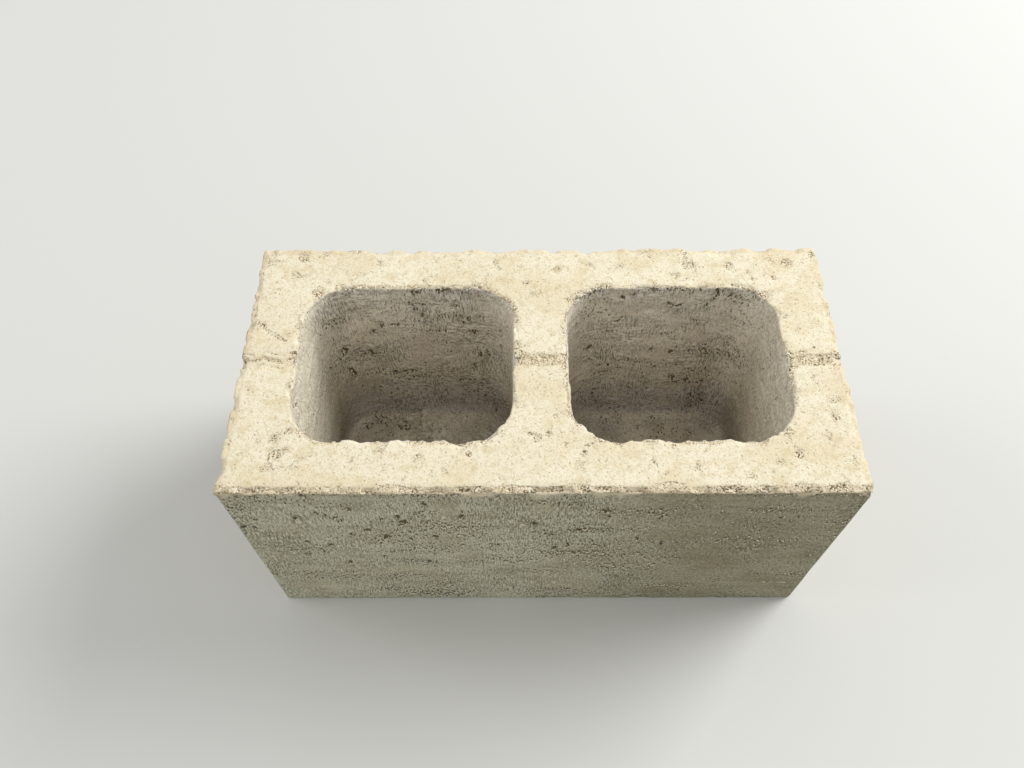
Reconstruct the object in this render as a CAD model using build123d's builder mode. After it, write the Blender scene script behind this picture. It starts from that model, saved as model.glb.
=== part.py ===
"""A cellular two-cell concrete masonry block, 390 x 190 x 190 mm, with plain square ends.

The block is pressed in one piece, on a pallet, in a mould with two drafted core plugs. The plugs hang
from a core bar that lies across the mould and stop short of the pallet. So the cells narrow a little
towards the bottom, where a floor closes them, and the bar leaves a shallow crumbled trough across the
end webs and the middle web. The shoe that presses the mix stops short of the mould's walls, so a lower,
torn margin runs round the top.

Origin: centre of the bottom bed face, where the block stands.
+X runs along the block's length, +Y from the front face shell to the back one, +Z up.
"""

from build123d import *
import os

# Outside sizes, in millimetres
LENGTH = 390.0
WIDTH = 190.0
HEIGHT = 190.0

# Walls, measured on the top bed face, where the cells are widest
FACE_SHELL = 36.0
END_WEB = 37.0
MIDDLE_WEB = 36.0

# Cells: the corner radius at the top, the lean of the core plugs' walls from the vertical, the thickness
# of the floor under the plugs, and the round that the plugs' worn lower edges leave along the floor
CELL_CORNER_RADIUS = 28.0
CELL_DRAFT_ANGLE = 0.45
CELL_FLOOR = 28.0
CELL_FLOOR_FILLET = 10.0

# The margin that the shoe leaves unpressed round the top, and the corners of the face inside it
TOP_MARGIN_WIDTH = 4.0
TOP_MARGIN_DROP = 1.5
PRESSED_CORNER_RADIUS = 1.5

# The trough that the core bar leaves in the top bed face, and the slope of its crumbled sides
CORE_BAR_MARK_WIDTH = 9.0
CORE_BAR_MARK_DEPTH = 2.0
CORE_BAR_MARK_SLOPE = 55.0

# Worn edges
VERTICAL_ARRIS_RADIUS = 2.0
BOTTOM_ARRIS_RADIUS = 1.5
CELL_MOUTH_RADIUS = 1.2

# A cell fills what the walls and the floor leave
cell_length = (LENGTH - 2 * END_WEB - MIDDLE_WEB) / 2
cell_width = WIDTH - 2 * FACE_SHELL
cell_depth = HEIGHT - CELL_FLOOR
cell_centre = (MIDDLE_WEB + cell_length) / 2

# The pressed face lies inside the margin, and the walls end where the margin starts
pressed_length = LENGTH - 2 * TOP_MARGIN_WIDTH
pressed_width = WIDTH - 2 * TOP_MARGIN_WIDTH
wall_height = HEIGHT - TOP_MARGIN_DROP

with BuildPart() as concrete_block:
    # The outside walls, as the mould box gives them
    with BuildSketch(Plane.XY):
        RectangleRounded(LENGTH, WIDTH, VERTICAL_ARRIS_RADIUS)
    extrude(amount=wall_height)
    fillet(concrete_block.faces().sort_by(Axis.Z)[0].edges(), BOTTOM_ARRIS_RADIUS)

    # The torn margin, from the top of the walls up to the pressed face
    with BuildSketch(Plane.XY.offset(wall_height)):
        RectangleRounded(LENGTH, WIDTH, VERTICAL_ARRIS_RADIUS)
    with BuildSketch(Plane.XY.offset(HEIGHT)):
        RectangleRounded(pressed_length, pressed_width, PRESSED_CORNER_RADIUS)
    loft(ruled=True)

    # The two cells, cut straight and then drafted about the top bed face, so that they close downwards
    with BuildSketch(Plane.XY.offset(CELL_FLOOR)):
        with Locations((-cell_centre, 0), (cell_centre, 0)):
            RectangleRounded(cell_length, cell_width, CELL_CORNER_RADIUS)
    extrude(amount=cell_depth, mode=Mode.SUBTRACT)
    cell_walls = concrete_block.faces(Select.LAST).filter_by(Axis.Z, reverse=True)
    draft(cell_walls, neutral_plane=Plane.XY.offset(HEIGHT), angle=CELL_DRAFT_ANGLE)

    # The round between each cell's walls and its floor
    cell_floors = concrete_block.faces().filter_by(Axis.Z).group_by(Axis.Z)[1]
    fillet(cell_floors.edges(), CELL_FLOOR_FILLET)

    # The mouths of the cells, rounded where they open in the top bed face
    top_bed_face = concrete_block.faces().filter_by(Axis.Z).sort_by(Axis.Z)[-1]
    mouths = [wire.edges() for wire in top_bed_face.inner_wires()]
    fillet(mouths, CELL_MOUTH_RADIUS)

    # The core bar's trough, wide at the top bed face, along the whole length of the block
    with BuildSketch(Plane.YZ.offset(-LENGTH / 2)):
        with Locations((0, HEIGHT)):
            Trapezoid(
                CORE_BAR_MARK_WIDTH,
                CORE_BAR_MARK_DEPTH,
                CORE_BAR_MARK_SLOPE,
                rotation=180,
                align=(Align.CENTER, Align.MIN),
            )
    extrude(amount=LENGTH, mode=Mode.SUBTRACT)

os.makedirs("parts", exist_ok=True)
concrete_block.part.label = "concrete_block"
export_step(concrete_block.part, "parts/concrete_block.step")
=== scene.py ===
"""A cellular two-cell concrete block, dry-pressed from a buff mix, standing on its bottom bed face."""

import math

import bpy
import numpy as np
from mathutils import Matrix, Vector


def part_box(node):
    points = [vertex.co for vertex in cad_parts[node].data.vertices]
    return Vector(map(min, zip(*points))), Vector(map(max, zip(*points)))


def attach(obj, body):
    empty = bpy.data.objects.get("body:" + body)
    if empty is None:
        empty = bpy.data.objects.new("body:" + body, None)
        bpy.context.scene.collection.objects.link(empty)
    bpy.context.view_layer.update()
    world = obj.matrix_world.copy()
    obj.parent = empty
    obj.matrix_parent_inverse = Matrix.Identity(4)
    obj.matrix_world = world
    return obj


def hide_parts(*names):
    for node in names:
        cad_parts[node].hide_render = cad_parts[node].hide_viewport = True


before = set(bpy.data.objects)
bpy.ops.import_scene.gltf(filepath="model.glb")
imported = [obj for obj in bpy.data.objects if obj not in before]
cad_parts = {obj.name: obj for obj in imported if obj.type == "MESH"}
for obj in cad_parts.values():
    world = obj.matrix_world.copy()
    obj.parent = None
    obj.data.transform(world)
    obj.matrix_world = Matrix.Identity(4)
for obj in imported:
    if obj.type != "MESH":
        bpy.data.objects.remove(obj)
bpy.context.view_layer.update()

# The block is one piece of dry-pressed concrete, shaped by a steel mould. A box forms its outside, and
# two drafted plugs that stop short of the pallet form its cells and leave them a floor. A shoe presses
# the top and stops short of the box, so a lower margin of loose mix runs round it.

# Sizes are in millimetres, as in the part's source. The mesh is scaled to metres when it is made
MM = 0.001
low_corner, high_corner = (np.array(corner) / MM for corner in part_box("concrete_block"))
LENGTH, WIDTH, HEIGHT = high_corner - low_corner
FACE_SHELL = 36.0
END_WEB = 37.0
MIDDLE_WEB = 36.0
CELL_CORNER_RADIUS = 28.0
CELL_DRAFT = math.tan(math.radians(0.45))
CELL_FLOOR = 28.0
CELL_FLOOR_FILLET = 10.0
CELL_MOUTH_RADIUS = 1.2
TOP_MARGIN_WIDTH = 4.0
TOP_MARGIN_DROP = 1.5
PRESSED_CORNER_RADIUS = 1.5
VERTICAL_ARRIS_RADIUS = 2.0
BOTTOM_ARRIS_RADIUS = 1.5

# How far apart the mesh's vertices are, which is about the size of the smallest crumbs that it shows
MESH_STEP = 1.15
STEPS_CORNER = 6
STEPS_FILLET = 11

cell_length = (LENGTH - 2 * END_WEB - MIDDLE_WEB) / 2
cell_width = WIDTH - 2 * FACE_SHELL
cell_centre = (MIDDLE_WEB + cell_length) / 2
STEPS_LONG = round(LENGTH / 2 / MESH_STEP)
STEPS_WIDE = round(WIDTH / MESH_STEP)


def around_half_block(inset, corner_radius):
    """The right half's outline in plan: its points, outward directions, and which lie in the middle.

    It runs along the front, the right end and the back, each straight run in even steps and each
    corner as an arc, and closes down the middle of the block, where the left half joins.
    """
    right = LENGTH / 2 - inset
    side = WIDTH / 2 - inset
    centre_x, centre_y = right - corner_radius, side - corner_radius
    points, directions = [], []
    for start, end, facing, steps in (
        ((0, -side), (centre_x, -side), -90, STEPS_LONG),
        ((right, -centre_y), (right, centre_y), 0, STEPS_WIDE),
        ((centre_x, side), (0, side), 90, STEPS_LONG),
        ((0, side), (0, -side), 180, STEPS_WIDE),
    ):
        along = np.linspace(0, 1, steps + 1)[:, None]
        points.append((1 - along) * start + along * np.array(end))
        outward = math.cos(math.radians(facing)), math.sin(math.radians(facing))
        directions.append(np.tile(outward, (steps + 1, 1)))
        if facing in (-90, 0):
            turn = np.radians(np.linspace(facing, facing + 90, STEPS_CORNER + 1)[1:-1])
            arc = np.column_stack([np.cos(turn), np.sin(turn)])
            points.append(arc * corner_radius + (centre_x, centre_y if facing == 0 else -centre_y))
            directions.append(arc)
    points[-1], directions[-1] = points[-1][1:-1], directions[-1][1:-1]
    middle = np.arange(sum(map(len, points))) >= sum(map(len, points[:-1]))
    return np.vstack(points), np.vstack(directions), middle


def filled(ring, ring_index, first_new):
    """A grid of points and quads inside a closed ring, and the new points' number.

    The ring is cut into two long and two short sides. A point is the sum of the two straight blends
    between opposite sides, less the blend of the four corners.
    """
    long_steps = STEPS_LONG + STEPS_CORNER
    cuts = np.cumsum([0, long_steps, STEPS_WIDE, long_steps, STEPS_WIDE])
    loop = np.append(np.arange(len(ring)), 0)
    front, right, back, middle = (loop[start:end + 1] for start, end in zip(cuts, cuts[1:]))
    back, middle = back[::-1], middle[::-1]
    s = np.linspace(0, 1, long_steps + 1)[:, None, None]
    t = np.linspace(0, 1, STEPS_WIDE + 1)[None, :, None]
    grid = (1 - t) * ring[front][:, None] + t * ring[back][:, None]
    grid += (1 - s) * ring[middle][None] + s * ring[right][None]
    grid -= (1 - s) * ((1 - t) * ring[front[0]] + t * ring[back[0]])
    grid -= s * ((1 - t) * ring[front[-1]] + t * ring[back[-1]])
    index = np.empty(grid.shape[:2], int)
    inside = first_new + np.arange((long_steps - 1) * (STEPS_WIDE - 1))
    index[1:-1, 1:-1] = inside.reshape(long_steps - 1, -1)
    index[:, 0], index[:, -1] = ring_index[front], ring_index[back]
    index[0, :], index[-1, :] = ring_index[middle], ring_index[right]
    quads = np.stack([index[:-1, :-1], index[1:, :-1], index[1:, 1:], index[:-1, 1:]], axis=-1)
    return grid[1:-1, 1:-1].reshape(-1, 3), quads.reshape(-1, 4)


def half_block():
    """Vertices and quads of the right half, as one section profile carried round the cell.

    A column of vertices starts at the edge of the cell's floor, climbs the wall, crosses the top bed
    face and the margin, and runs down the outside to the bottom bed face. Columns in the middle of the
    block have no outside. A grid fills the floor, and another fills the bottom bed face.
    """
    pressed, _, middle = around_half_block(TOP_MARGIN_WIDTH, PRESSED_CORNER_RADIUS)
    wall, facing, _ = around_half_block(0.0, VERTICAL_ARRIS_RADIUS)
    foot = wall - facing * np.where(middle, 0, BOTTOM_ARRIS_RADIUS)[:, None]
    foot[middle, 1] = wall[middle, 1] * (1 - 2 * BOTTOM_ARRIS_RADIUS / WIDTH)

    # The cell's wall stands its corner radius away from a rectangle round the plug's axis
    spine_half = np.array([cell_length, cell_width]) / 2 - CELL_CORNER_RADIUS
    spine = np.clip(pressed, (cell_centre, 0) - spine_half, (cell_centre, 0) + spine_half)
    away = pressed - spine
    away /= np.linalg.norm(away, axis=1, keepdims=True)

    def level(plan, height):
        return np.column_stack([plan, np.full(len(plan), height)])

    def on_cell(height, inward=0.0):
        radius = CELL_CORNER_RADIUS - CELL_DRAFT * (HEIGHT - height) - inward
        return level(spine + away * radius, height)

    rows = []
    for turn in np.radians(np.linspace(90, 0, STEPS_FILLET + 1)):
        height = CELL_FLOOR + CELL_FLOOR_FILLET * (1 - math.cos(math.radians(90) - turn))
        rows.append(on_cell(height, CELL_FLOOR_FILLET * (1 - math.cos(turn))))
    wall_foot, wall_head = CELL_FLOOR + CELL_FLOOR_FILLET, HEIGHT - CELL_MOUTH_RADIUS
    for height in np.linspace(wall_foot, wall_head, round((wall_head - wall_foot) / MESH_STEP) + 1)[1:]:
        rows.append(on_cell(height))
    for turn in np.radians([30, 60, 90]):
        rise, outward = math.sin(turn), 1 - math.cos(turn)
        rows.append(on_cell(wall_head + CELL_MOUTH_RADIUS * rise, -CELL_MOUTH_RADIUS * outward))
    rim = rows[-1]
    edge = level(pressed, HEIGHT)
    for share in np.linspace(0, 1, round((FACE_SHELL - TOP_MARGIN_WIDTH) / MESH_STEP) + 1)[1:]:
        rows.append((1 - share) * rim + share * edge)
    last_pressed_row = len(rows) - 1
    lip = level(wall, HEIGHT - TOP_MARGIN_DROP)
    for share in np.linspace(0, 1, round(TOP_MARGIN_WIDTH / MESH_STEP) + 2)[1:]:
        rows.append((1 - share) * edge + share * lip)
    for height in np.linspace(lip[0, 2], BOTTOM_ARRIS_RADIUS, round(HEIGHT / MESH_STEP) + 1)[1:]:
        rows.append(level(wall, height))
    for turn in np.radians([30, 60]):
        inward = facing * BOTTOM_ARRIS_RADIUS * (1 - math.cos(turn))
        rows.append(level(wall - inward, BOTTOM_ARRIS_RADIUS * (1 - math.sin(turn))))
    rows.append(level(foot, 0.0))

    points = np.vstack(rows)
    index = np.arange(len(points)).reshape(len(rows), -1)
    onward = np.roll(index, -1, axis=1)
    quads = np.stack([index[:-1], onward[:-1], onward[1:], index[1:]], axis=-1)
    outside = ~(middle | np.roll(middle, -1))
    outside[-1] = False
    keep = np.ones(quads.shape[:2], bool)
    keep[last_pressed_row:] = outside
    floor_points, floor_quads = filled(rows[0], index[0], len(points))
    points = np.vstack([points, floor_points])
    bed_points, bed_quads = filled(rows[-1], index[-1], len(points))
    points = np.vstack([points, bed_points])
    return points, np.vstack([quads[keep], floor_quads[:, ::-1], bed_quads])


def whole_block():
    """The right half and its mirror image, joined along the middle of the block, facing outwards."""
    points, quads = half_block()
    seam = np.abs(points[:, 0]) < 1e-6
    twin = np.where(seam, np.arange(len(points)), np.arange(len(points)) + len(points))
    points = np.vstack([points, points * (-1, 1, 1)])
    quads = np.vstack([quads, twin[quads][:, ::-1]])
    used, compact = np.unique(quads, return_inverse=True)
    points, quads = points[used], compact.reshape(-1, 4)
    a, b, c, d = (points[quads[:, k]] for k in range(4))
    volume = np.einsum("ij,ij->i", a, np.cross(b, c) + np.cross(c, d)).sum() / 6
    return points, quads if volume > 0 else quads[:, ::-1]


def outward_normals(points, quads):
    """The unit normal at each vertex: the sum of its faces' area vectors, made one long."""
    diagonal_1 = points[quads[:, 2]] - points[quads[:, 0]]
    diagonal_2 = points[quads[:, 3]] - points[quads[:, 1]]
    area = np.cross(diagonal_1, diagonal_2)
    total = np.zeros_like(points)
    for corner in range(4):
        for axis in range(3):
            total[:, axis] += np.bincount(quads[:, corner], area[:, axis], len(points))
    return total / np.linalg.norm(total, axis=1, keepdims=True)


points, quads = whole_block()
normals = outward_normals(points, quads)

# The broken skin. Dry mix doesn't flow, so it crumbles at every rim, pulls open where it clings to the
# steel as the mould is drawn off, and stays loose where the shoe pressed it too little.


def smooth(start, end, value):
    """Rises from 0 at start to 1 at end along a cubic with level ends."""
    share = np.clip((value - start) / (end - start), 0, 1)
    return share * share * (3 - 2 * share)


def scramble(cell, seed):
    """A number from 0 to 1 for each cell of a lattice, from its multiplied and folded coordinates."""
    key = cell[:, 0] * np.uint64(0x9E3779B97F4A7C15) ^ cell[:, 1] * np.uint64(0xC2B2AE3D27D4EB4F)
    key ^= cell[:, 2] * np.uint64(0x165667B19E3779F9) ^ np.uint64(seed * 0x27D4EB2F)
    key ^= key >> np.uint64(29)
    key *= np.uint64(0xBF58476D1CE4E5B9)
    key ^= key >> np.uint64(32)
    return (key >> np.uint64(11)).astype(float) / 2**53


def lumps(at, size, seed):
    """A smooth random field from -1 to 1 whose lumps are about size across.

    Each lattice corner has a random value, and the eight round a point are blended by a quintic.
    """
    scaled = at / size
    cell = np.floor(scaled)
    part = scaled - cell
    blend = part * part * part * (part * (part * 6 - 15) + 10)
    cell = cell.astype(np.int64).astype(np.uint64)
    total = 0
    for corner in np.ndindex(2, 2, 2):
        weight = np.prod(np.where(corner, blend, 1 - blend), axis=1)
        total = total + weight * scramble(cell + np.array(corner, np.uint64), seed)
    return total * 2 - 1


# Sizes and depths into the block are in millimetres. The last number of each call of lumps is its seed
x, y, z = points.T
upwards = normals[:, 2]
inset = np.minimum(LENGTH / 2 - np.abs(x), WIDTH / 2 - np.abs(y))
below_top = HEIGHT - z
spine_length = cell_length / 2 - CELL_CORNER_RADIUS
spine_width = cell_width / 2 - CELL_CORNER_RADIUS
spine_x = np.clip(np.abs(x) - cell_centre, -spine_length, spine_length)
spine_y = np.clip(y, -spine_width, spine_width)
outside_cell = np.hypot(np.abs(x) - cell_centre - spine_x, y - spine_y) - CELL_CORNER_RADIUS
in_cell = (outside_cell < 0.4) & (z > CELL_FLOOR - 1)
bed = smooth(0.5, 0.85, upwards) * ~in_cell
cell_floor = smooth(0.5, 0.9, upwards) * in_cell
underside = smooth(0.5, 0.9, -upwards)
wall = 1 - bed - underside - cell_floor

coarse = lumps(points, 28.0, 1)
medium = lumps(points, 11.0, 2)
small = lumps(points, 5.0, 3)
fine = lumps(points, 2.6, 4)
ragged = 0.6 * small + 0.4 * fine


def hollows(u, v, rough, spots, tall=1.0):
    """The deepest of several bowls at each point, each as (u, v, radius, depth).

    A bowl fades from its full depth at 0.4 of its radius to nothing at 1.1, and rough shifts its rim.
    """
    deepest = np.zeros(len(u))
    for spot_u, spot_v, radius, deep in spots:
        distance = np.hypot(u - spot_u, (v - spot_v) / tall) / radius + 0.4 * rough
        deepest = np.maximum(deepest, deep * (1 - smooth(0.4, 1.1, distance)))
    return deepest


def furrows(u, v, rough, paths):
    """The deepest of several furrows along broken lines, each as (half width, depth, points).

    A furrow is a bowl's section carried along its line: the distance is that to the nearest run of it.
    """
    deepest = np.zeros(len(u))
    for half_width, deep, path in paths:
        for (start_u, start_v), (end_u, end_v) in zip(path, path[1:]):
            run_u, run_v = end_u - start_u, end_v - start_v
            share = ((u - start_u) * run_u + (v - start_v) * run_v) / (run_u**2 + run_v**2)
            share = np.clip(share, 0, 1)
            distance = np.hypot(u - start_u - share * run_u, v - start_v - share * run_v) / half_width
            deepest = np.maximum(deepest, deep * (1 - smooth(0.4, 1.2, distance + 0.45 * rough)))
    return deepest


# Crumbled spots and short cracks of the top bed face, as x, y, radius and depth
TOP_SPOTS = (
    (-166, 88, 5.5, 0.9), (-187, 90, 3, 0.8), (-155, 88, 2, 0.9), (-129, 93, 3, 1.2),
    (-112, 82, 4, 0.6), (-99, 84, 2, 0.8), (-168, 71, 5, 0.6), (-179, 59, 1.6, 1.0),
    (-9, 64, 2, 1.2), (-30, 81, 4, 0.6), (-28, 77, 2, 0.8), (-152, 56, 5, 0.9), (-138, 60, 3, 1.0),
    (12, 76, 4, 0.8), (36, 79, 3, 0.9), (49, 77, 2.5, 0.8), (56, 79, 4, 0.9), (102, 91, 2.5, 1.2),
    (102, 86, 1.6, 1.3), (104, 79, 5, 0.9), (94, 71, 4, 1.0), (132, 78, 3.5, 0.9), (77, 87, 2, 0.7),
    (76, 93, 2.5, 1.0), (172, 80, 4, 0.9), (182, 90, 3, 0.6), (161, 67, 2.5, 1.2),
    (191, 88, 2.5, 1.2), (21, 50, 3.5, 1.1), (124, 66, 1.6, 0.7), (164, 33, 2.6, 1.2),
    (169, 25, 4, 0.6), (161, 37, 2, 0.8), (-163, -69, 5, 0.9), (-165, -76, 2.5, 1.1),
    (-165, -57, 1.6, 1.0), (-157, -52, 3, 0.8), (-117, -73, 2, 1.0), (-75, -72, 4, 0.6),
    (-66, -82, 2.5, 1.1), (-45, -69, 2, 1.4), (-8, -55, 1.6, 1.4), (-4, -58, 4, 0.8),
    (3, -55, 1.6, 1.2), (8, -43, 1.6, 1.0), (14, -62, 2, 1.0), (18, -54, 1.6, 1.1),
    (25, -68, 2.2, 1.4), (23, -76, 6, 0.4), (66, -74, 2.5, 1.1), (79, -63, 1.8, 1.1),
    (98, -67, 1.5, 0.7), (154, -70, 3, 1.1), (142, -75, 5, 0.5), (137, -83, 2.5, 0.8),
    (125, -84, 2.5, 0.6), (182, -45, 3, 0.9), (173, -14, 1.8, 1.0), (178, 9, 1.4, 1.0),
)
TOP_CRACKS = (
    (1.7, 1.1, ((-184, 28), (-180, 23), (-176, 21), (-173, 19), (-168, 15))),
    (1.6, 0.8, ((-163, -63), (-165, -69), (-160, -73))),
    (1.5, 0.7, ((-81, 66), (-76, 69), (-69, 72))),
    (1.5, 0.8, ((147, 67), (151, 67), (155, 70))),
    (1.5, 0.6, ((93, -72), (93, -78), (94, -84))),
    (1.6, 0.9, ((23, -63), (30, -63))),
    (1.6, 0.8, ((-60, -79), (-57, -82))),
)
spots = np.maximum(hollows(x, y, 1.4 * ragged - 0.4, TOP_SPOTS), furrows(x, y, 1.6 * ragged, TOP_CRACKS))
spots *= bed * np.clip(0.8 + 0.7 * fine, 0.2, 1.4)

# The margin that the shoe leaves, a soft slope with a scalloped lip, crumbled along the front
OUTER_RIM = 5.0
CELL_RIM = 3.8
FOOT_RIM = 3.5
from_front = y + WIDTH / 2 + 1.6 * medium + 1.2 * small + 0.8 * fine
front_margin = bed * smooth(7.0, 3.5, from_front)
margin = bed * smooth(5.5, 3.6, inset)
filled_margin = smooth(-0.9, -0.2, 0.7 * lumps(points, 7.0, 10) + 0.5 * medium)
crumbling = 0.25 * margin * np.clip(medium, -0.5, 1)
crumbling -= 0.9 * margin * filled_margin * np.clip(below_top, 0, TOP_MARGIN_DROP)
clusters = 0.25 + 0.75 * smooth(-0.1, 0.6, lumps(points * (1, 2, 1), 8.0, 12) + 0.4 * small)
crumbling += clusters * front_margin * np.clip(0.4 + 0.8 * small + 0.7 * fine, -0.2, 1.5)
outer_rim = 1 - smooth(0.8, OUTER_RIM, np.hypot(inset, below_top))
scallops = np.clip(0.9 + 2.1 * medium + 1.3 * small + 0.9 * fine, -0.4, 3.6)
crumbling += outer_rim * scallops

# The mouths of the cells, and the foot
cell_rim = 1 - smooth(0.4, CELL_RIM, np.hypot(outside_cell, below_top))
crumbling += cell_rim * np.clip(0.4 + 1.1 * medium + 1.1 * small + 0.9 * fine, -0.4, 2.8)
foot_rim = 1 - smooth(0.5, FOOT_RIM, np.hypot(inset, z))
crumbling += foot_rim * np.clip(0.2 + 0.5 * medium + 0.5 * small, 0, 1.5)

# The core bar's mark: a band of crumbs across the webs, with a crack along it and one at each side. On
# the left end web the band is faint, and the crack runs on without a gap
BAR_HALF_WIDTH = 4.8
along_web = points * (1, 0, 0)
crack_line = 0.8 + 1.5 * lumps(along_web, 9.0, 6) + 0.8 * lumps(along_web, 3.0, 7)
bar_band = bed * (1 - smooth(0.75, 1.25, np.abs(y) / BAR_HALF_WIDTH + 0.3 * small))
bar_band *= 0.35 + 0.65 * smooth(-150, -20, x)
bar_mark = bar_band * np.clip(0.4 + 0.6 * small + 0.5 * fine, 0, 1.3)
cracks = np.zeros(len(points))
for offset, half_width, strength in ((0.0, 0.9, 1.0), (5.0, 0.7, 0.6), (-5.2, 0.7, 0.5)):
    cracks += strength * np.exp(-(((y - crack_line - offset) / half_width) ** 2))
left_web = smooth(-130, -150, x)
unbroken = np.maximum(0.8 * left_web, smooth(-0.5, 0.3, lumps(points, 8.0, 9)))
cracks *= bed * (1 + 0.2 * left_web) * unbroken
bar_mark += 1.2 * cracks

# Bites out of the rims, as x, y, z, radius and depth
BITES = (
    (34, 96, 190, 5, 2.6), (130, 96, 190, 11, 1.6), (120, 96, 190, 4, 1.0), (-61, 96, 190, 4, 1.2),
    (-100, 96, 190, 3, 0.8), (-112, 96, 190, 4, 0.8), (193, -96, 189, 6, 2.4),
    (-195, -2, 190, 4, 2.2), (195, -2, 190, 4, 2.0), (-52, -58, 190, 7, 3.0),
    (-97, -58, 190, 3.5, 1.4), (-112, -58, 190, 4.5, 1.0), (-78, -58, 190, 4, 1.2),
    (-35, -57, 190, 5, 1.0), (47, -58, 190, 6, 1.6), (82, -58, 190, 5, 1.7),
    (102, -58, 190, 3, 1.3), (122, -58, 190, 5, 1.5), (133, -58, 190, 4, 1.2),
    (-157, 0, 190, 5, 2.0), (-18, 0, 190, 4, 2.2), (18, -1, 190, 3.5, 2.2), (158, -2, 190, 4, 2.0),
)
bites = np.zeros(len(points))
for bite_x, bite_y, bite_z, radius, deep in BITES:
    distance = np.linalg.norm(points - (bite_x, bite_y, bite_z), axis=1) / radius
    bites = np.maximum(bites, deep * (1 - smooth(0.3, 1.2, distance + 0.35 * ragged)))

# The front wall and then the cells' back walls: pits as x, z, radius and depth, and tears and raised
# ridges as half width, depth or height, and a line of x and z
FRONT_PITS = (
    (-153, 152, 3.5, 1.4), (-140, 160, 2, 1.3), (-134, 157, 2.5, 1.3), (-128, 152, 4, 1.1),
    (-119, 166, 2, 1.2), (-143, 186, 3, 1.4), (-112, 133, 2.5, 1.3), (-101, 151, 1.6, 1.0),
    (-88, 146, 3, 1.5), (-90, 155, 2, 1.2), (-72, 174, 3, 1.0), (-50, 155, 2.5, 1.3),
    (-50, 162, 1.6, 1.0), (-13, 146, 2, 1.6), (-9, 147, 1.5, 1.2), (-5, 143, 3, 1.0),
    (-123, 127, 2, 1.1), (-101, 124, 2, 1.2), (-84, 120, 1.6, 1.0), (-75, 124, 1.6, 1.1),
    (-69, 123, 2, 1.2), (-140, 109, 2, 1.1), (-165, 122, 1.5, 0.9), (-155, 115, 1.5, 0.9),
    (-190, 139, 2.5, 1.1), (-184, 139, 2, 1.0), (-159, 92, 3, 1.2), (-187, 97, 1.5, 0.9),
    (-147, 98, 1.5, 0.9), (-33, 108, 3, 1.0), (-28, 108, 2, 1.1), (-72, 92, 1.5, 0.9),
    (-133, 78, 3, 1.1), (-107, 88, 2, 1.1), (-77, 79, 2, 1.1), (-72, 78, 1.5, 1.0),
    (-56, 82, 1.5, 0.9), (-12, 95, 2, 1.1), (-185, 72, 1.5, 0.9), (-133, 57, 2, 1.2),
    (-110, 58, 1.5, 0.9), (80, 112, 2.5, 1.7), (120, 145, 1.6, 1.2), (113, 128, 1.5, 1.0),
    (40, 163, 3, 1.1), (42, 155, 1.6, 1.0), (75, 155, 4, 0.8), (52, 98, 2, 1.1), (17, 110, 2, 1.1),
    (9, 103, 2, 1.0), (63, 122, 1.5, 1.0), (64, 118, 1.5, 1.0), (93, 96, 2, 1.0),
    (160, 154, 1.6, 0.9), (159, 114, 1.6, 0.9), (150, 153, 1.6, 0.9), (185, 88, 1.6, 0.9),
    (142, 82, 1.5, 0.9), (127, 82, 1.5, 0.9), (33, 78, 1.5, 0.9), (58, 48, 1.5, 0.9),
)
FRONT_TEARS = (
    (0.9, 1.0, ((-80, 160), (-76, 162), (-72, 163))),
    (0.8, 0.8, ((-100, 97), (-94, 98), (-87, 98))),
    (0.9, 1.1, ((110, 163), (112, 160), (113, 157))),
    (0.8, 0.8, ((-135, 140), (-128, 139))),
    (0.8, 0.8, ((20, 134), (28, 135))),
)
FRONT_RIDGES = (
    (0.9, 0.35, ((-30, 140), (-18, 141), (-5, 141))),
    (0.9, 0.35, ((-165, 55), (-150, 54))),
    (0.9, 0.35, ((-130, 51), (-115, 52), (-100, 51))),
    (0.9, 0.35, ((65, 119), (73, 117))),
    (1.0, 0.35, ((165, 37), (174, 36), (183, 36))),
)
BACK_PITS = (
    (-87, 166, 2.5, 1.1), (-83, 161, 2.5, 1.0), (-86, 186, 3.5, 1.0), (-114, 150, 2.5, 1.8),
    (-121, 140, 3, 1.6), (-113, 140, 1.6, 1.0), (-108, 126, 1.5, 1.1), (-47, 140, 2.6, 1.3),
    (-50, 155, 2, 1.2), (-56, 158, 1.5, 1.0), (-42, 158, 1.5, 1.0), (-73, 141, 1.5, 1.0),
    (-67, 142, 1.5, 1.0), (-48, 96, 3, 1.5), (-38, 117, 1.5, 0.9), (-55, 108, 1.5, 0.9),
    (-37, 112, 1.5, 0.9), (-111, 87, 2.6, 1.3), (-98, 80, 2, 1.1), (-145, 123, 3, 1.3),
    (-130, 168, 1.5, 0.9), (-144, 97, 2, 1.3), (-143, 91, 2.5, 1.3), (-86, 100, 1.5, 0.9),
    (-27, 133, 1.5, 1.1), (-28, 150, 1.5, 1.1), (-40, 104, 1.5, 0.9), (118, 173, 2.5, 1.8),
    (58, 180, 2.2, 1.2), (66, 182, 1.6, 1.1), (60, 157, 1.6, 1.0), (70, 152, 1.5, 1.0),
    (86, 117, 2, 1.2), (101, 114, 2, 1.2), (39, 122, 2.6, 1.2), (48, 97, 1.5, 1.0),
    (55, 97, 1.5, 1.0), (59, 104, 1.5, 0.9), (70, 104, 1.5, 0.9), (107, 79, 3, 1.7),
    (113, 73, 1.8, 1.1), (119, 75, 2, 1.2), (126, 76, 2, 1.2), (132, 74, 1.8, 1.2),
    (137, 75, 1.5, 1.1), (122, 71, 1.6, 1.0), (129, 71, 1.5, 0.9),
)
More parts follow.
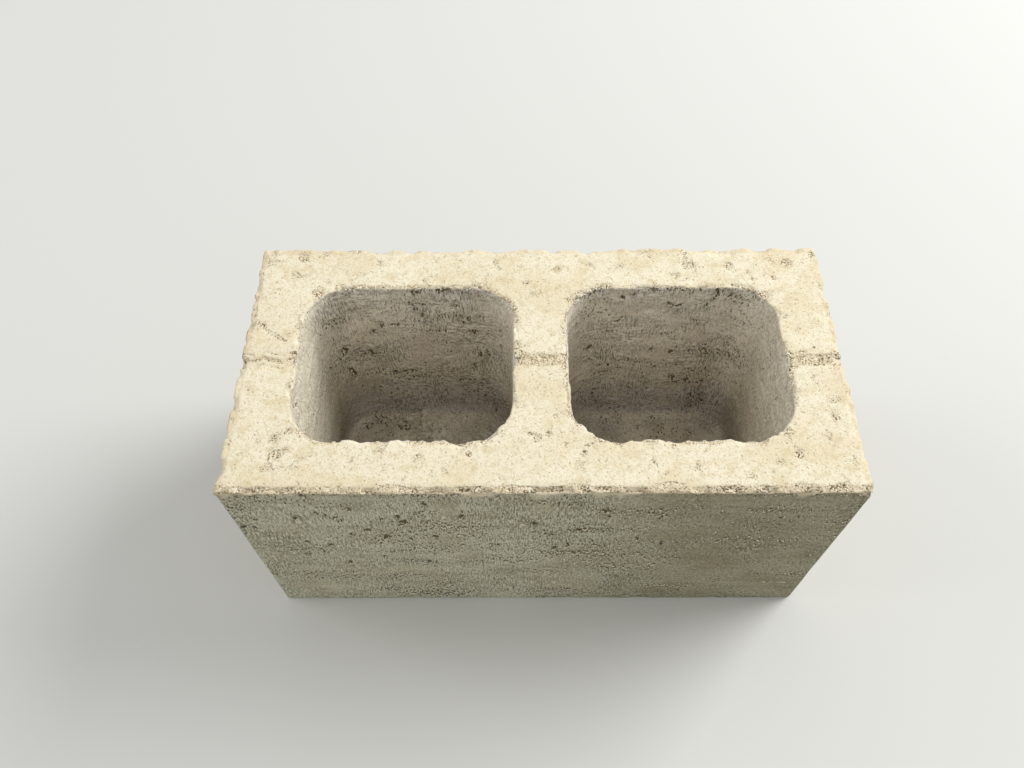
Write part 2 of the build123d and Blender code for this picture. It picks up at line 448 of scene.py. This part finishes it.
BACK_TEARS = (
    (1.0, 1.5, ((-91, 172), (-86, 173), (-81, 172))),
    (1.0, 1.3, ((-107, 149), (-99, 149))),
    (1.0, 1.3, ((-102, 132), (-92, 132))),
    (0.9, 1.1, ((-152, 161), (-148, 163))),
    (0.8, 0.9, ((-57, 148), (-54, 152))),
    (1.1, 1.7, ((90, 174), (93, 171), (96, 169), (101, 172))),
    (1.2, 1.9, ((118, 170), (121, 176), (124, 181), (122, 188))),
    (0.9, 1.2, ((44, 152), (50, 151), (58, 153))),
    (0.8, 1.0, ((108, 154), (115, 153), (121, 152))),
    (0.8, 0.9, ((120, 124), (127, 123))),
    (1.3, 1.7, ((43, 83), (50, 86), (60, 90))),
    (1.1, 1.3, ((96, 69), (101, 70), (107, 72), (112, 72))),
)
BACK_RIDGES = (
    (1.0, 0.4, ((-108, 146), (-99, 146))),
    (0.8, 0.35, ((-118, 137), (-110, 137))),
    (0.8, 0.35, ((102, 151), (112, 150), (122, 150))),
    (0.8, 0.35, ((30, 134), (45, 131), (58, 133))),
    (0.8, 0.3, ((-140, 121), (-122, 119), (-104, 121))),
    (0.8, 0.3, ((60, 140), (75, 137), (88, 139))),
)

# Each pit and tear gets a pale painted highlight on its lower lip, where light from above would catch
# it, the same shape a little lower on the wall
HIGHLIGHT_DROP = 2.6
torn = np.zeros(len(points))
lip_highlight_below = np.zeros(len(points))
raised = np.zeros(len(points))
for chosen, pits, tears, ridges in (
    (np.flatnonzero((y < -WIDTH / 2 + 1) & (inset < 1)), FRONT_PITS, FRONT_TEARS, FRONT_RIDGES),
    (np.flatnonzero(in_cell & (y > 20)), BACK_PITS, BACK_TEARS, BACK_RIDGES),
):
    for field, drop in ((lip_highlight_below, HIGHLIGHT_DROP), (torn, 0.0)):
        at = x[chosen], z[chosen] + drop, ragged[chosen]
        field[chosen] = np.maximum(hollows(*at, pits, 1.5), furrows(*at, tears))
    raised[chosen] = furrows(*at, ridges)

# Elsewhere on the walls the pits are scattered
pit_threshold = 0.8 - 0.12 * coarse
scattered = smooth(pit_threshold, pit_threshold + 0.16, lumps(points, (3.6, 3.6, 4.5), 8))
torn = np.maximum(torn, scattered) * wall
raised *= wall

# Outside faces stay a little inside the mould's size, so that lips and ridges stand proud of them. The
# cells' walls swell and sink in level waves, as the plugs dragged them, and their floors are rough
FACE_ALLOWANCE = 0.6
allowance = np.where(in_cell, 0, FACE_ALLOWANCE) * wall * smooth(1.0, 4.0, below_top) + 0.15 * bed
unevenness = bed * (0.05 * small + 0.15 * coarse) + wall * (0.05 * small + 0.2 * coarse)
unevenness += in_cell * wall * 0.6 * lumps(points, (13.0, 13.0, 5.0), 14)
rubble = cell_floor * (1.2 * coarse + 0.6 * medium + 0.5 * small + 0.35 * fine)
depth = allowance + unevenness + rubble + crumbling + bar_mark
depth += 0.35 * spots + bites + torn - raised
depth = np.where(underside > 0.5, np.clip(depth, 0, None), depth)
shaped = np.clip(points - normals * depth[:, None], low_corner, high_corner)

# What the material needs to know of each place, mostly from 0 to 1: where the pale pressed skin laps
# over the arrises, where crumbs lie loose, where the mix is browner or painted shade darkens it, where
# it is torn or painted shade lies at the cells' back rims, where painted highlights lie on lips, where
# it is dragged in strands, and what is in a cell. Stains of the front face are given as x, z, radius and
# strength
FRONT_STAINS = (
    (-114, 175, 11, 0.35), (-140, 180, 6, 0.5), (-153, 152, 6, 0.8), (-5, 143, 5, 0.8),
    (60, 105, 5, 0.9), (40, 163, 5, 0.8), (-108, 78, 6, 0.5), (75, 155, 6, 0.6),
    (105, 150, 16, 0.6), (150, 140, 30, 0.8), (165, 175, 14, 0.7), (120, 60, 22, 0.4),
    (20, 175, 12, 0.5), (-60, 178, 12, 0.25), (-20, 60, 14, 0.3),
)

# The walls are calmer, with fewer pits and strands, on the back, the ends, the front's right part and
# all of a cell but its back wall
on_front = ~in_cell & (y < 5 - WIDTH / 2)
side_wall = in_cell * wall * smooth(0.9, 0.3, np.abs(normals[:, 1]))
calm = np.where(in_cell, smooth(0.9, 0.3, -normals[:, 1]) * wall, 1.2)
calm = np.where(on_front, 0.5 * smooth(20, 130, x), calm)

skin_edge = np.clip(2.2 + 4.5 * medium + 3.0 * small, 0.3, 8.0) + 2.2 * bites
skin = np.maximum(bed, smooth(skin_edge + 0.7, skin_edge - 0.7, below_top) * ~in_cell)
# A darker band under the top arris of the outside walls is painted shade, where the lip overhangs them
shade_under_lip = smooth(9, 3, below_top) * np.clip(0.55 + 0.6 * medium + 0.4 * small, 0, 1) * ~in_cell
browner = hollows(x, z, 0.8 * medium + 0.5 * small, FRONT_STAINS)
# The front grows darker and browner towards its right end
browner = np.maximum(browner, 0.75 * smooth(-10, 110, x))
stain_and_shade = np.clip(np.where(on_front, browner, 0.3) + 0.5 * shade_under_lip, 0, 1)
# In the cells, painted shade darkens and cools the walls towards their foot and the side walls a little,
# but not the floor
painted_cell_shade = smooth(95, 36, z) - cell_floor + 0.15 * side_wall
stain_and_shade = np.where(in_cell, painted_cell_shade, stain_and_shade)
stain_and_shade = np.where(bed > 0.5, np.maximum(0.8 * margin, bar_band), stain_and_shade)
rim_crumbs = bed * smooth(6.0, 1.0, outside_cell + 2.0 * small) * smooth(-0.4, 0.3, medium)
loose = 1.2 * clusters * front_margin + 0.5 * bar_band + 0.6 * rim_crumbs + 0.6 * cracks
scattered_crumbs = 0.45 * bed * smooth(0.4, 0.8, lumps(points, 6.0, 11) + 0.3 * fine)
loose = np.clip(np.maximum(loose, 0.75 * spots) + 0.1 * margin + scattered_crumbs, 0, 1)

# Under the mouths of the cells the back walls, which face away from the key lamp, get more dark pits as
# painted shade
cell_rim_shade = in_cell * smooth(7.0, 2.0, below_top) * np.clip(0.25 + 0.5 * medium + 0.5 * small, 0, 0.55)
cell_rim_shade *= smooth(0.3, 0.8, -normals[:, 1])
cell_rubble = 0.45 * cell_floor * smooth(0.3, 0.7, lumps(points, 7.0, 13))
pits_and_shade = np.clip(0.8 * torn + cell_rim_shade + cell_rubble, 0, 0.8) - 0.25 * underside - 0.3 * calm
# Pale painted highlights on the pits' lower lips, fewer on the calm walls, and on the raised ridges
lip = np.clip(3 * raised + np.clip(lip_highlight_below - torn, 0, 0.9) * (1 - calm), 0, 1)
strand = np.clip(0.55 + 0.45 * coarse + 0.4 * medium, 0.1, 1) * (wall + 0.7 * cell_floor)
strand *= 1 - 0.6 * calm
cell = in_cell * (1 - 0.5 * side_wall)

# The mesh, thinned where it is flat so that it stays under 200,000 triangles
TRIANGLE_LIMIT = 196000
dense_mesh = bpy.data.meshes.new("dense")
dense_mesh.vertices.add(len(shaped))
dense_mesh.vertices.foreach_set("co", (shaped * MM).astype(np.float32).ravel())
dense_mesh.loops.add(quads.size)
dense_mesh.loops.foreach_set("vertex_index", quads.astype(np.int32).ravel())
dense_mesh.polygons.add(len(quads))
dense_mesh.polygons.foreach_set("loop_start", np.arange(0, quads.size, 4, dtype=np.int32))
dense_mesh.update(calc_edges=True)
marks = {
    "skin": skin,
    "stain_and_shade": stain_and_shade,
    "loose": loose,
    "pits_and_shade": pits_and_shade,
    "lip": lip,
    "cell": cell,
    "strand": strand,
}
for name, values in marks.items():
    attribute = dense_mesh.attributes.new(name, "FLOAT", "POINT")
    attribute.data.foreach_set("value", values.astype(np.float32))

dense = bpy.data.objects.new("dense", dense_mesh)
bpy.context.scene.collection.objects.link(dense)
thin = dense.modifiers.new("thin", "DECIMATE")
thin.ratio = TRIANGLE_LIMIT / (2 * len(quads))
block_mesh = bpy.data.meshes.new_from_object(dense.evaluated_get(bpy.context.evaluated_depsgraph_get()))
bpy.data.objects.remove(dense)
bpy.data.meshes.remove(dense_mesh)
block_mesh.name = "pressed_block"
settled = np.empty(3 * len(block_mesh.vertices), np.float32)
block_mesh.vertices.foreach_get("co", settled)
settled = np.clip(settled.reshape(-1, 3), low_corner * MM, high_corner * MM)
block_mesh.vertices.foreach_set("co", settled.astype(np.float32).ravel())
block_mesh.polygons.foreach_set("use_smooth", np.ones(len(block_mesh.polygons), bool))
block_mesh.update()
pressed_block = bpy.data.objects.new("pressed_block", block_mesh)
bpy.context.scene.collection.objects.link(pressed_block)
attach(pressed_block, "root")
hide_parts("concrete_block")

# Dry-pressed concrete of pale cement, yellow sand and a little brown grit, matt all over. The pressed
# top is sandy, light and buff. The walls that steel held keep a thin greenish-grey skin of cement with
# upright scratches, where strands of mix show as pale lines, small pits are painted dark brown as the
# shade in them, and their lower lips carry pale painted highlights.


def linear(code):
    """An sRGB hex colour as linear red, green, blue and alpha."""
    channels = [int(code[start:start + 2], 16) / 255 for start in (1, 3, 5)]
    return [c / 12.92 if c <= 0.04045 else ((c + 0.055) / 1.055) ** 2.4 for c in channels] + [1.0]


concrete = bpy.data.materials.new("dry_pressed_concrete")
concrete.use_nodes = True
tree = concrete.node_tree
tree.nodes.clear()


def add(kind, output=0, **settings):
    """Adds a shader node and gives one of its outputs.

    Lower-case settings are the node's own properties. The others are its inputs, by name or, after an
    underscore, by number, and each is given a value or linked to another node's output.
    """
    node = tree.nodes.new("ShaderNode" + kind)
    for name, value in settings.items():
        if name[0].islower():
            setattr(node, name, value)
    for name, value in settings.items():
        if not name[0].islower():
            socket = node.inputs[int(name[1:]) if name[0] == "_" else name.replace("_", " ")]
            if isinstance(value, bpy.types.NodeSocket):
                tree.links.new(value, socket)
            else:
                socket.default_value = value
    return node.outputs[output] if len(node.outputs) else node


place = add("TexCoord", 3)


def mottled(base, layers):
    """Colours laid over a base. A layer shows where its noise goes from start to end of its range.

    Each is (size, height, detail, start, end, strength, colour), where size and height are those of
    the noise's lumps in millimetres, across and upright.
    """
    colour = linear(base)
    for size, height, detail, start, end, strength, code in layers:
        at = add("VectorMath", operation="MULTIPLY", _0=place, _1=(1, 1, size / height))
        noise = add("TexNoise", Vector=at, Scale=1 / (size * MM), Detail=detail, Roughness=0.6)
        share = add("MapRange", interpolation_type="SMOOTHSTEP", Value=noise,
                    From_Min=start, From_Max=end, To_Max=strength)
        colour = add("Mix", 2, data_type="RGBA", _0=share, _6=colour, _7=linear(code))
    return colour


def tinted(colour, *tints):
    """Tints laid over a colour one by one, each as (where, strength, tint), where both are 0 to 1."""
    for where, strength, code in tints:
        share = add("Math", operation="MULTIPLY", _0=where, _1=strength)
        colour = add("Mix", 2, data_type="RGBA", _0=share, _6=colour, _7=linear(code))
    return colour


skin_share, stain_and_shade_share, loose_share, pits_and_shade_share, lip_highlight_share, cell_share, strand_share = (
    add("Attribute", 2, attribute_name=name) for name in marks
)

# The three grounds: the pressed top, the outside walls, and the warmer, greyer walls of the cells.
# Clouds and level streaks of the mix are 18 to 50 mm long, clots 3 to 9 mm and sand 1 to 2 mm
top_colour = mottled("#F1E9D0", (
    (38.0, 38.0, 2.0, 0.42, 0.66, 0.7, "#E7D9B8"),
    (9.0, 9.0, 3.0, 0.50, 0.68, 0.5, "#D9C89F"),
    (3.0, 3.0, 2.0, 0.52, 0.68, 0.45, "#DACAA2"),
    (1.1, 1.1, 1.0, 0.50, 0.68, 0.5, "#CDBA92"),
    (1.7, 1.7, 1.0, 0.64, 0.74, 0.6, "#9A8660"),
))
top_colour = tinted(top_colour, (stain_and_shade_share, 0.5, "#D9C5A2"))
wall_colour = mottled("#D9D3BB", (
    (40.0, 40.0, 2.0, 0.44, 0.60, 0.7, "#C1B79B"),
    (50.0, 10.0, 2.0, 0.45, 0.66, 0.5, "#ADA589"),
))
cell_colour = mottled("#EFE6D5", (
    (36.0, 30.0, 2.0, 0.42, 0.60, 0.5, "#CDC1B0"),
    (18.0, 8.0, 2.0, 0.48, 0.64, 0.4, "#B5AA98"),
))

# Sand of 0.5 to 2 mm, drawn a little upright where the steel slid over it
SAND_GRAIN = 1.5
grain_at = add("VectorMath", operation="MULTIPLY", _0=place, _1=(1, 1, 0.55))
grain = add("TexNoise", Vector=grain_at, Scale=1 / (SAND_GRAIN * MM), Detail=3.0, Roughness=0.7)
grain_strength = add("Math", operation="MULTIPLY_ADD", _0=strand_share, _1=0.6, _2=0.5)
grains = []
for end in (0.66, 0.36):
    shown = add("MapRange", interpolation_type="SMOOTHSTEP", Value=grain, From_Min=0.50, From_Max=end)
    grains.append(add("Math", operation="MULTIPLY", _0=shown, _1=grain_strength))
dark_grains, pale_grains = grains
wall_colour = tinted(wall_colour, (dark_grains, 0.68, "#665E47"), (pale_grains, 0.8, "#FFFBE6"))
cell_colour = tinted(cell_colour, (dark_grains, 0.62, "#6C6252"), (pale_grains, 0.7, "#FFFCEC"))

# Strands of mix dragged along the steel, pale and upright. In patches of the cells' walls and of the
# browner front they lie level and arched instead. Real ones are about 0.3 mm wide, and are drawn three
# to four times as wide, so as to show
UPRIGHT_STRAND = 0.85
LEVEL_STRAND = 1.25
STRAND_PATCH = 30.0
STRAND_ARCH = 15.0
patches = add("TexNoise", Vector=place, Scale=1 / (STRAND_PATCH * MM), Detail=1.0)
arch = add("VectorMath", operation="MULTIPLY", _0=patches, _1=(0, 0, STRAND_ARCH * MM))
arched = add("VectorMath", operation="ADD", _0=place, _1=arch)
strands = []
for at, stretch, size in (
    (place, (1, 1, 0.13), UPRIGHT_STRAND * MM),
    (arched, (0.33, 0.33, 1), LEVEL_STRAND * MM),
):
    at = add("VectorMath", operation="MULTIPLY", _0=at, _1=stretch)
    strands.append(add("TexNoise", Vector=at, Scale=1 / size, Detail=2.0, Roughness=0.6))
level_share = add("MapRange", interpolation_type="SMOOTHSTEP", Value=patches,
                  From_Min=0.44, From_Max=0.54)
level_walls = add("Math", operation="MAXIMUM", _0=cell_share, _1=stain_and_shade_share)
level_share = add("Math", operation="MULTIPLY", _0=level_share, _1=level_walls)
strands = add("Mix", data_type="FLOAT", _0=level_share, _2=strands[0], _3=strands[1])
strands = add("Math", operation="SUBTRACT", _0=strands, _1=0.5)
strands = add("Math", operation="MULTIPLY", _0=strands, _1=strand_share)
pale_strands = add("MapRange", interpolation_type="SMOOTHSTEP", Value=strands,
                   From_Min=0.0, From_Max=0.08)
dark_strands = add("MapRange", interpolation_type="SMOOTHSTEP", Value=strands,
                   From_Min=0.0, From_Max=-0.1)
wall_colour = tinted(wall_colour, (dark_strands, 0.5, "#7A7254"), (pale_strands, 0.75, "#FFFBE6"))
cell_colour = tinted(cell_colour, (dark_strands, 0.5, "#7A7066"), (pale_strands, 0.85, "#FFFCEE"))
wall_colour = add("Mix", 2, data_type="RGBA", _0=cell_share, _6=wall_colour, _7=cell_colour)

# The front's darker, browner right end, the painted shade under the top arris, and the painted shade
# that darkens and cools the cells' walls towards their foot and their side walls deepen every grain
# alike
stain_and_shade_tone = add("Mix", 2, data_type="RGBA", _0=cell_share,
                 _6=linear("#BFBBB2"), _7=linear("#E6E6F2"))
wall_colour = add("Mix", 2, data_type="RGBA", blend_type="MULTIPLY", _0=stain_and_shade_share,
                  _6=wall_colour, _7=stain_and_shade_tone)

# Small pits, in level rows and where the skin is torn, painted dark brown as the shade in them, each
# with a pale painted highlight on its lip below it
SMALL_PIT = 1.5
PIT_ROW = 55.0
rows_at = add("VectorMath", operation="MULTIPLY", _0=place, _1=(1, 1, 4))
rows = add("TexNoise", Vector=rows_at, Scale=1 / (PIT_ROW * MM), Detail=1.0)
rows = add("Math", operation="MULTIPLY_ADD", _0=cell_share, _1=-0.09, _2=rows)
rows = add("Math", operation="MULTIPLY_ADD", _0=pits_and_shade_share, _1=0.6, _2=rows)
pits_and_lip_highlights = []
for lift, start, end in ((0, 0.88, 0.96), (HIGHLIGHT_DROP * MM, 0.85, 0.92)):
    at = add("VectorMath", operation="ADD", _0=place, _1=(0, 0, lift))
    at = add("VectorMath", operation="MULTIPLY", _0=at, _1=(1, 1, 0.5))
    noise = add("TexNoise", Vector=at, Scale=1 / (SMALL_PIT * MM), Detail=1.0, Roughness=0.6)
    noise = add("Math", operation="MULTIPLY_ADD", _0=rows, _1=0.5, _2=noise)
    shown = add("MapRange", interpolation_type="SMOOTHSTEP", Value=noise, From_Min=start, From_Max=end)
    pits_and_lip_highlights.append(shown)
shaded_pits, lip_highlights = pits_and_lip_highlights

# The painted highlights on the larger lips and ridges of the mesh are broken up by the sand
ridge_and_lip_highlights = add("Math", operation="MULTIPLY_ADD", _0=grain, _1=-2.5, _2=1.25)
ridge_and_lip_highlights = add("Math", operation="ADD", _0=lip_highlight_share, _1=ridge_and_lip_highlights)
ridge_and_lip_highlights = add("MapRange", interpolation_type="SMOOTHSTEP", Value=ridge_and_lip_highlights,
                  From_Min=0.5, From_Max=0.9)
lip_highlights = add("Math", operation="MAXIMUM", _0=lip_highlights, _1=ridge_and_lip_highlights)
# Pale painted highlights on the lips, and painted shade in the pits
wall_colour = tinted(wall_colour, (lip_highlights, 0.95, "#FCF2D8"), (shaded_pits, 0.85, "#584628"))
colour = add("Mix", 2, data_type="RGBA", _0=skin_share, _6=wall_colour, _7=top_colour)

# Loose crumbs of 1 to 2 mm on the top: pale, then tan, with painted shade in the gaps between them
CRUMB = 1.3
crumb = add("TexNoise", Vector=place, Scale=1 / (CRUMB * MM), Detail=2.0, Roughness=0.65)
crumb_tan = add("MapRange", interpolation_type="SMOOTHSTEP", Value=crumb, From_Min=0.42, From_Max=0.56)
crumb_gap_shade = add("Math", operation="MULTIPLY_ADD", _0=loose_share, _1=0.2, _2=crumb)
crumb_gap_shade = add("MapRange", interpolation_type="SMOOTHSTEP", Value=crumb_gap_shade,
                 From_Min=0.66, From_Max=0.78)
crumb_colour = add("Mix", 2, data_type="RGBA", _0=crumb_tan,
                   _6=linear("#F3E9CF"), _7=linear("#CFBC97"))
crumb_colour = tinted(crumb_colour, (crumb_gap_shade, 0.9, "#67563A"))
crumb_share = add("Math", operation="MULTIPLY_ADD", _0=crumb, _1=0.8, _2=loose_share)
crumb_share = add("MapRange", interpolation_type="SMOOTHSTEP", Value=crumb_share,
                  From_Min=0.6, From_Max=1.0)
crumb_share = add("Math", operation="MULTIPLY", _0=crumb_share, _1=skin_share)
colour = add("Mix", 2, data_type="RGBA", _0=crumb_share, _6=colour, _7=crumb_colour)

# The relief too fine for the mesh, summed in millimetres
wall_height = add("Math", operation="MULTIPLY", _0=strands, _1=2.4)
wall_height = add("Math", operation="MULTIPLY_ADD", _0=lip_highlights, _1=0.8, _2=wall_height)
wall_height = add("Math", operation="MULTIPLY_ADD", _0=shaded_pits, _1=-0.8, _2=wall_height)
wall_height = add("Math", operation="MULTIPLY_ADD", _0=grain, _1=-0.75, _2=wall_height)
top_height = add("Math", operation="MULTIPLY", _0=grain, _1=-0.35)
crumb_depth = add("Math", operation="MULTIPLY", _0=crumb, _1=crumb_share)
top_height = add("Math", operation="MULTIPLY_ADD", _0=crumb_depth, _1=-0.8, _2=top_height)
height = add("Mix", data_type="FLOAT", _0=skin_share, _2=wall_height, _3=top_height)
bump = add("Bump", Strength=1.0, Distance=MM, Height=height)
shader = add("BsdfPrincipled", Base_Color=colour, Roughness=0.95, Specular_IOR_Level=0.25, Normal=bump)
add("OutputMaterial", Surface=shader)
block_mesh.materials.append(concrete)

# The stage is a plain pale floor of matt paint that goes on past the view. The camera and glossy rays
# see its paint, and the block gets the duller light of a grey-green one
FLOOR_HALF = 6.0
floor_mesh = bpy.data.meshes.new("floor")
floor_corners = [(FLOOR_HALF * side_x, FLOOR_HALF * side_y, 0)
                 for side_x, side_y in ((-1, -1), (1, -1), (1, 1), (-1, 1))]
floor_mesh.from_pydata(floor_corners, [], [(0, 1, 2, 3)])
floor = bpy.data.objects.new("floor", floor_mesh)
bpy.context.scene.collection.objects.link(floor)
floor_paint = bpy.data.materials.new("floor_paint")
floor_paint.use_nodes = True
tree = floor_paint.node_tree
tree.nodes.clear()


def seen_or_lit(seen, lit):
    """One colour for camera, glossy and transmission rays, and another for the light on the block."""
    is_seen = add("Math", operation="MAXIMUM", _0=add("LightPath", 0), _1=add("LightPath", 3))
    is_seen = add("Math", operation="MAXIMUM", _0=is_seen, _1=add("LightPath", 6))
    return add("Mix", 2, data_type="RGBA", _0=is_seen, _6=linear(lit), _7=linear(seen))


add("OutputMaterial", Surface=add("BsdfDiffuse", Color=seen_or_lit("#DCDCD8", "#B2B5A8")))
floor_mesh.materials.append(floor_paint)

# The light is a broad soft lamp beyond the block's right end, a weaker one at its left, and an even
# pale surround. Places are in metres, and the lamps face the block
LAMP_WIDTH = 2.4
for name, lamp_place, power in (("key", (2.6, 1.25, 2.0), 112.0), ("fill", (-2.95, 0.35, 1.85), 30.0)):
    lamp = bpy.data.lights.new(name, "AREA")
    lamp.shape = "DISK"
    lamp.size = LAMP_WIDTH
    lamp.energy = power
    lamp_stand = bpy.data.objects.new(name, lamp)
    bpy.context.scene.collection.objects.link(lamp_stand)
    lamp_stand.location = lamp_place
    lamp_stand.rotation_euler = Vector(lamp_place).to_track_quat("Z", "Y").to_euler()

world = bpy.data.worlds.new("studio")
bpy.context.scene.world = world
world.use_nodes = True
tree = world.node_tree
tree.nodes.clear()
add("OutputWorld", Surface=add("Background", Color=seen_or_lit("#E6E6E4", "#BFBFBF")))
bpy.context.scene.view_settings.view_transform = "Standard"

# The camera stands where the photograph was taken from: 0.7 m away, looking down steeply over the front
# face. Its place is in metres and its angles in degrees
CAMERA_PLACE = (-0.0153, -0.3085, 0.6431)
CAMERA_HEADING = -0.68
CAMERA_DIP = 57.40
CAMERA_ROLL = -0.74
FOCAL_LENGTH_PX = 846.5
IMAGE_WIDTH_PX = 1024
camera = bpy.data.objects.new("camera", bpy.data.cameras.new("camera"))
bpy.context.scene.collection.objects.link(camera)
camera.data.lens = camera.data.sensor_width * FOCAL_LENGTH_PX / IMAGE_WIDTH_PX
camera.data.clip_start = 0.02
heading, dip, roll = (math.radians(angle) for angle in (CAMERA_HEADING, CAMERA_DIP, CAMERA_ROLL))
ahead = Vector((math.sin(heading) * math.cos(dip), math.cos(heading) * math.cos(dip), -math.sin(dip)))
level = Vector((math.cos(heading), -math.sin(heading), 0))
upright = level.cross(ahead)
across = math.cos(roll) * level + math.sin(roll) * upright
upward = math.cos(roll) * upright - math.sin(roll) * level
turned = Matrix((across, upward, -ahead)).transposed().to_4x4()
camera.matrix_world = Matrix.Translation(CAMERA_PLACE) @ turned
bpy.context.scene.camera = camera
